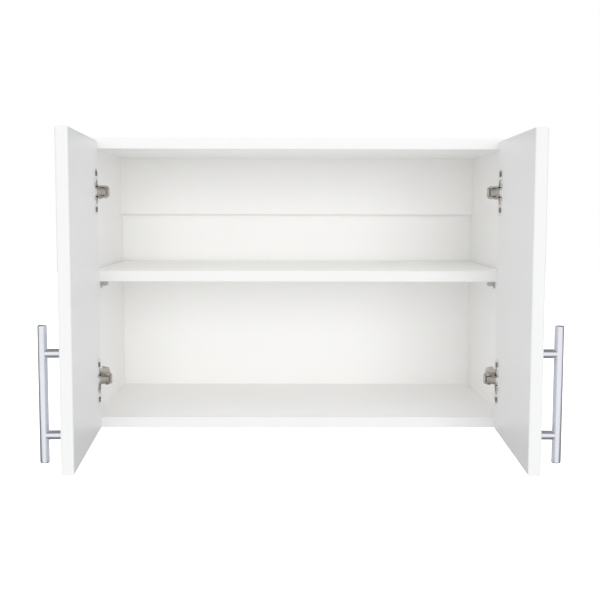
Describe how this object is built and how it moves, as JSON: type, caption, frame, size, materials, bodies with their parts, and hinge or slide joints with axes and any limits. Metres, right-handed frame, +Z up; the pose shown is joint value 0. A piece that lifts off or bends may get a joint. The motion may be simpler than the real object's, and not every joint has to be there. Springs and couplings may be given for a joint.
{
  "type": "hanging wall cabinet",
  "caption": "White hanging wall cabinet with a pair of doors on concealed hinges, bar handles, an inner shelf on supports and a hanging rail.",
  "frame": {"origin": "on the wall plane, at the middle of the cabinet's width and of the hanging rail's height", "axes": "+X across the cabinet, +Y out of its back at the wall, +Z up"},
  "size_m": [0.61, 0.6208, 0.4],
  "materials": {
    "carcass_laminate": "satin white melamine laminate on particle board",
    "door_laminate": "satin white laminate with rounded edges",
    "shelf_laminate": "satin white melamine laminate on particle board",
    "rail_laminate": "satin white melamine laminate on particle board",
    "white_hardboard": "white painted hardboard",
    "support_plastic": "moulded grey plastic",
    "satin_metal": "satin brushed steel",
    "nickel_steel": "nickel plated pressed steel",
    "zinc_steel": "zinc plated steel",
    "pin_steel": "plain steel",
    "zinc_casting": "zinc die casting",
    "beech": "ribbed beech",
    "cap_plastic": "moulded white plastic"
  },
  "bodies": {
    "cabinet": {"left_side_panel": "carcass_laminate", "right_side_panel": "carcass_laminate", "top_panel": "carcass_laminate", "bottom_panel": "carcass_laminate", "back_panel": "white_hardboard", "hanging_rail": "rail_laminate", "front_left_shelf_support": "support_plastic", "front_right_shelf_support": "support_plastic", "rear_left_shelf_support": "support_plastic", "rear_right_shelf_support": "support_plastic", "cam_locks": "zinc_casting", "cam_bolts": "zinc_steel", "wood_dowels": "beech", "back_panel_nails": "zinc_steel", "upper_left_hinge_arm": "nickel_steel", "lower_left_hinge_arm": "nickel_steel", "upper_right_hinge_arm": "nickel_steel", "lower_right_hinge_arm": "nickel_steel", "upper_left_hinge_plate": "nickel_steel", "lower_left_hinge_plate": "nickel_steel", "upper_right_hinge_plate": "nickel_steel", "lower_right_hinge_plate": "nickel_steel", "left_arm_pins": "pin_steel", "right_arm_pins": "pin_steel", "left_plate_screws": "zinc_steel", "right_plate_screws": "zinc_steel", "left_adjusting_screws": "zinc_steel", "right_adjusting_screws": "zinc_steel"},
    "shelf_board": {"shelf": "shelf_laminate"},
    "left_door_leaf": {"left_door": "door_laminate", "left_handle_bar": "satin_metal", "left_handle_posts": "satin_metal", "left_handle_screws": "zinc_steel", "left_screw_caps": "cap_plastic", "upper_left_hinge_cup": "nickel_steel", "lower_left_hinge_cup": "nickel_steel", "left_cup_pins": "pin_steel", "left_cup_screws": "zinc_steel"},
    "left_outer_links": {"upper_left_outer_link": "nickel_steel", "lower_left_outer_link": "nickel_steel"},
    "left_inner_links": {"upper_left_inner_link": "nickel_steel", "lower_left_inner_link": "nickel_steel"},
    "right_door_leaf": {"right_door": "door_laminate", "right_handle_bar": "satin_metal", "right_handle_posts": "satin_metal", "right_handle_screws": "zinc_steel", "right_screw_caps": "cap_plastic", "upper_right_hinge_cup": "nickel_steel", "lower_right_hinge_cup": "nickel_steel", "right_cup_pins": "pin_steel", "right_cup_screws": "zinc_steel"},
    "right_outer_links": {"upper_right_outer_link": "nickel_steel", "lower_right_outer_link": "nickel_steel"},
    "right_inner_links": {"upper_right_inner_link": "nickel_steel", "lower_right_inner_link": "nickel_steel"}
  },
  "joints": [
    {"name": "left_outer_link_turn", "type": "hinge", "parent": "cabinet", "child": "left_outer_links", "pos_m": [-0.2613, -0.3145, 0], "axis": [0, 0, 1], "range_deg": [-39.2, 3.65]},
    {"name": "left_door_swing", "type": "hinge", "parent": "left_outer_links", "child": "left_door_leaf", "pos_m": [-0.27521, -0.33575, 0], "axis": [0, 0, -1], "range_deg": [-126.15, 11.6]},
    {"name": "left_inner_link_turn", "type": "hinge", "parent": "cabinet", "child": "left_inner_links", "pos_m": [-0.2644, -0.328, 0], "axis": [0, 0, 1], "range_deg": [-44.07, 4.1]},
    {"name": "right_outer_link_turn", "type": "hinge", "parent": "cabinet", "child": "right_outer_links", "pos_m": [0.2613, -0.3145, 0], "axis": [0, 0, -1], "range_deg": [-39.56, 3.29]},
    {"name": "right_door_swing", "type": "hinge", "parent": "right_outer_links", "child": "right_door_leaf", "pos_m": [0.27507, -0.33584, 0], "axis": [0, 0, 1], "range_deg": [-127.31, 10.44]},
    {"name": "right_inner_link_turn", "type": "hinge", "parent": "cabinet", "child": "right_inner_links", "pos_m": [0.2644, -0.328, 0], "axis": [0, 0, -1], "range_deg": [-44.48, 3.69]},
    {"name": "shelf_lift", "type": "slide", "parent": "cabinet", "child": "shelf_board", "axis": [0, 0, 1], "range_m": [0, 0.06]}
  ],
  "couplings": [
    {"joint": "left_outer_link_turn", "follows": "left_door_swing", "ratio": 0.31034},
    {"joint": "left_inner_link_turn", "follows": "left_door_swing", "ratio": 0.34897},
    {"joint": "right_outer_link_turn", "follows": "right_door_swing", "ratio": 0.31034},
    {"joint": "right_inner_link_turn", "follows": "right_door_swing", "ratio": 0.34897}
  ]
}
